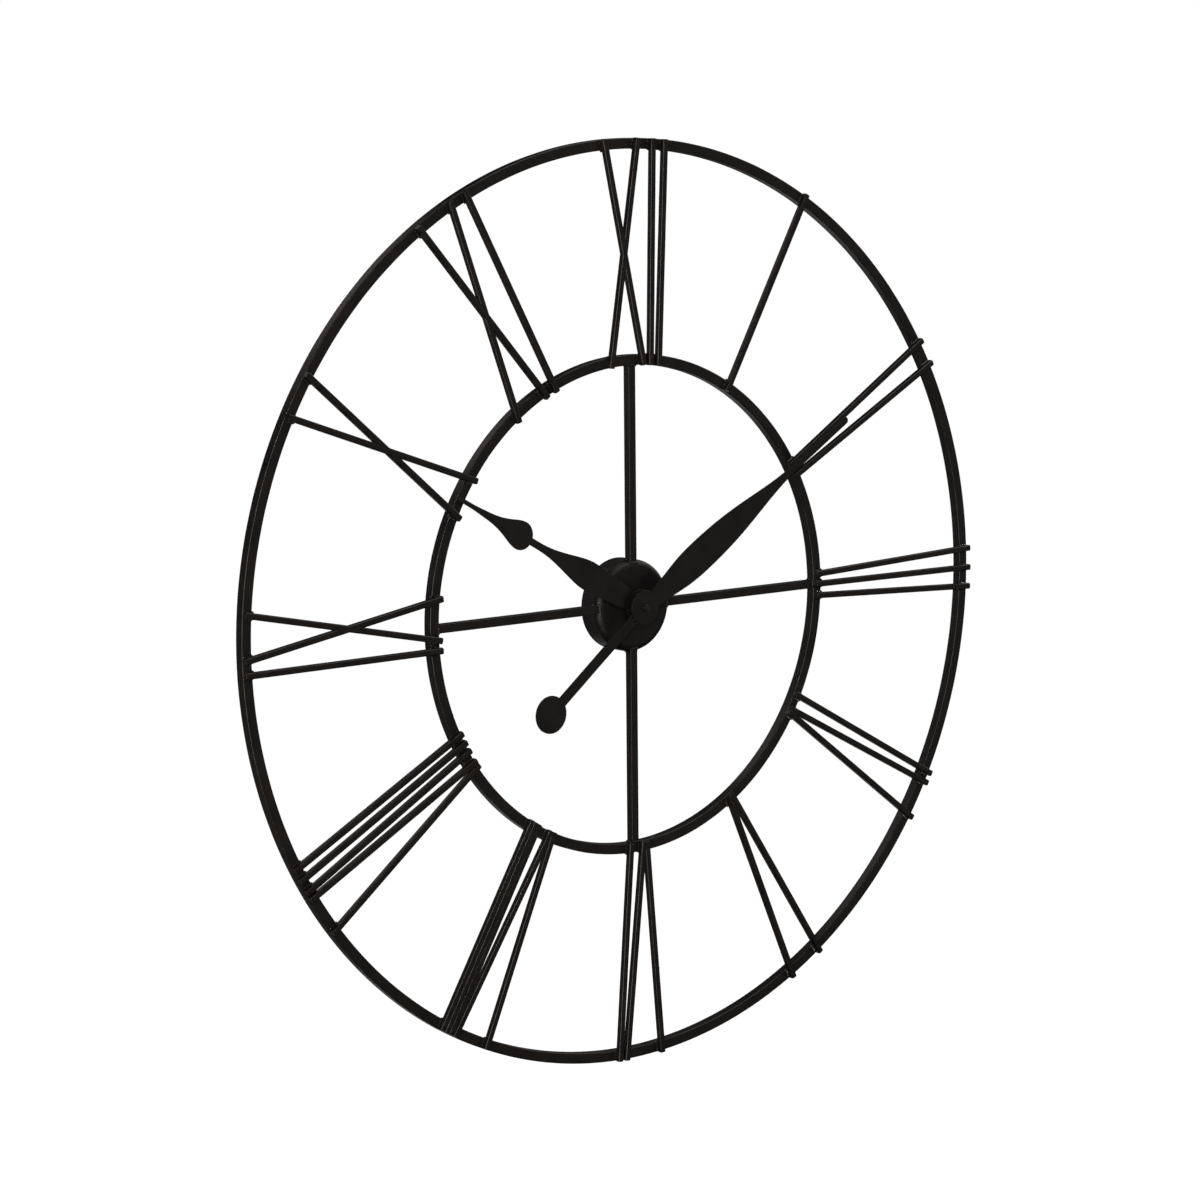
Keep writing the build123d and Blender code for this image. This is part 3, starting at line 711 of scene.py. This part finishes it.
def weld_bead(shell, first, last, seed):
    """Straight run of weld: a low ridge with ripples, thinned at both ends."""
    run = last - first
    count = max(4, round(run.length / (WELD_PITCH / RIPPLE_ROWS)))
    across = run.normalized().cross(FORWARD)
    rows = []
    for index in range(count + 1):
        share = index / count
        spot = first.lerp(last, share)
        wobble = noise.noise(Vector((seed * WELD_SEED_STEP, spot.x * WOBBLE_SCALE, spot.z * WOBBLE_SCALE)))
        swelling = 1.0 + RIPPLE * sin(2 * pi * index / RIPPLE_ROWS) + WOBBLE * wobble
        taper = min(1.0, THIN_END + THICKENING * min(share, 1.0 - share))
        rows.append(bead_row(spot, WELD_RADIUS * swelling * taper, across, FORWARD))
    shell.skin(rows, [BEAD_RUB_AND_SHEEN] * BEAD_SIDES)


def ring_span(node):
    """Inside and outside radius of a ring, and its front plane."""
    low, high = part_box(node)
    outside = (high.x - low.x) / 2
    return outside - (high.y - low.y), outside, low.y


def crossing(start, end, radius):
    """Point on a bar's line at a distance from the clock's axis, on the side where the bar is."""
    hub = Vector((ring_centre.x, start.y, ring_centre.z))
    along = (end - start).normalized()
    foot = start + along * (hub - start).dot(along)
    away = (foot - hub).length
    reach = (radius ** 2 - away ** 2) ** 0.5
    options = [foot + along * reach, foot - along * reach]
    centre = (start + end) / 2
    return min(options, key=lambda spot: (spot - centre).length)


def numeral_piece(hour):
    """Bars of one numeral, and the welds on both sides of every bar where it lies on a ring."""
    node = f"numeral_{hour:02d}"
    bars = Shell()
    welds = Shell()
    seed = hour
    for points, edges in bars_of(node):
        start, end, size = bar_line(points, edges)
        near, far = sorted((start, end), key=from_axis)
        touched = []
        for ring in RING_NODES:
            inside, outside, _ = ring_span(ring)
            if from_axis(near) < outside and from_axis(far) > inside:
                touched.append(ring)
        straight_bar(bars, start, end, size, 0.0 if len(touched) == len(RING_NODES) else SHORT_BAR_SINK)
        across = (far - near).normalized().cross(FORWARD)
        for ring in touched:
            inside, outside, front = ring_span(ring)
            if ring == "outer_ring":
                reaches = (inside - WELD_OVERRUN, outside - WELD_INSET)
            else:
                reaches = (inside + WELD_INSET, outside + WELD_OVERRUN)
            places = [crossing(start, end, reach) for reach in reaches]
            for side in (-1, 1):
                shift = across * side * (size / 2 + WELD_STANDOFF)
                first, last = [Vector((spot.x, front, spot.z)) + shift for spot in places]
                seed += 1
                weld_bead(welds, first, last, seed)
    piece = bars.finish(f"{node}_bars", materials["numeral_iron"], "frame")
    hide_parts(node)
    welds.finish(f"{node}_welds", materials["weld_metal"], "frame")


CUP_EDGE = 8.0 * mm          # radius of the round between the cup's wall and its front
ARM_BEAD = 1.3 * mm
ARM_BEAD_STEPS = 12
ARM_RIPPLE = 0.12
ARM_SEED_STEP = 3.1
ARM_WOBBLE_STEP = 0.5
ARM_WOBBLE_PLANE = 1.7


def cup_reach(forward):
    """Distance of the cup's outside from the clock's axis, at a height in front of the rings' plane."""
    low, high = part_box("movement_cup")
    radius = (high.x - low.x) / 2
    past = forward - (ring_centre.y - low.y - CUP_EDGE)
    if past <= 0:
        return radius
    return radius - CUP_EDGE + (CUP_EDGE ** 2 - past ** 2) ** 0.5


def arm_welds(name):
    """Welds round both ends of an arm, at the cup and at the inner ring."""
    node = f"crossbar_{name}"
    low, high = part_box(node)
    half = (high.y - low.y) / 2
    out = (low + high) / 2 - ring_centre
    out.y = 0.0
    out.normalize()
    across = out.cross(FORWARD)
    ring_inside = ring_span("inner_ring")[0]
    steps = [2 * index / ARM_BEAD_STEPS - 1 for index in range(ARM_BEAD_STEPS + 1)]
    welds = Shell()
    for seed, reach in enumerate((cup_reach, lambda forward: ring_inside)):

        def corner(sideways, forward):
            """Point on the end of the arm, in shares of its half width."""
            place_out = out * reach(half * forward)
            return ring_centre + place_out + across * (half * sideways) + FORWARD * (half * forward)

        for side in (-1, 1):
            upright = [corner(side, step) for step in steps]
            arm_bead(welds, upright, across, out, seed + side * 3)
            level = [corner(step, side) for step in steps]
            arm_bead(welds, level, FORWARD, out, seed + side * 5)
    welds.finish(f"{node}_welds", materials["weld_metal"], "frame")


def arm_bead(shell, path, first_side, second_side, seed):
    """Weld bead through the points of a path."""
    rows = []
    for index, spot in enumerate(path):
        wobble = noise.noise(Vector((seed * ARM_SEED_STEP, index * ARM_WOBBLE_STEP, ARM_WOBBLE_PLANE)))
        size = ARM_BEAD * (1.0 + ARM_RIPPLE * (-1) ** index + WOBBLE * wobble)
        rows.append(bead_row(spot, size, first_side, second_side))
    shell.skin(rows, [BEAD_RUB_AND_SHEEN] * BEAD_SIDES)


# ---------------------------------------------------------------- build
add_camera()
add_studio()
add_floor()
for panel in PANELS:
    add_panel(*panel)
dress_nodes()
for ring_node in RING_NODES:
    ring_bar(ring_node)
for hour in range(1, 13):
    numeral_piece(hour)
for name in ("top", "right", "bottom", "left"):
    arm_welds(name)
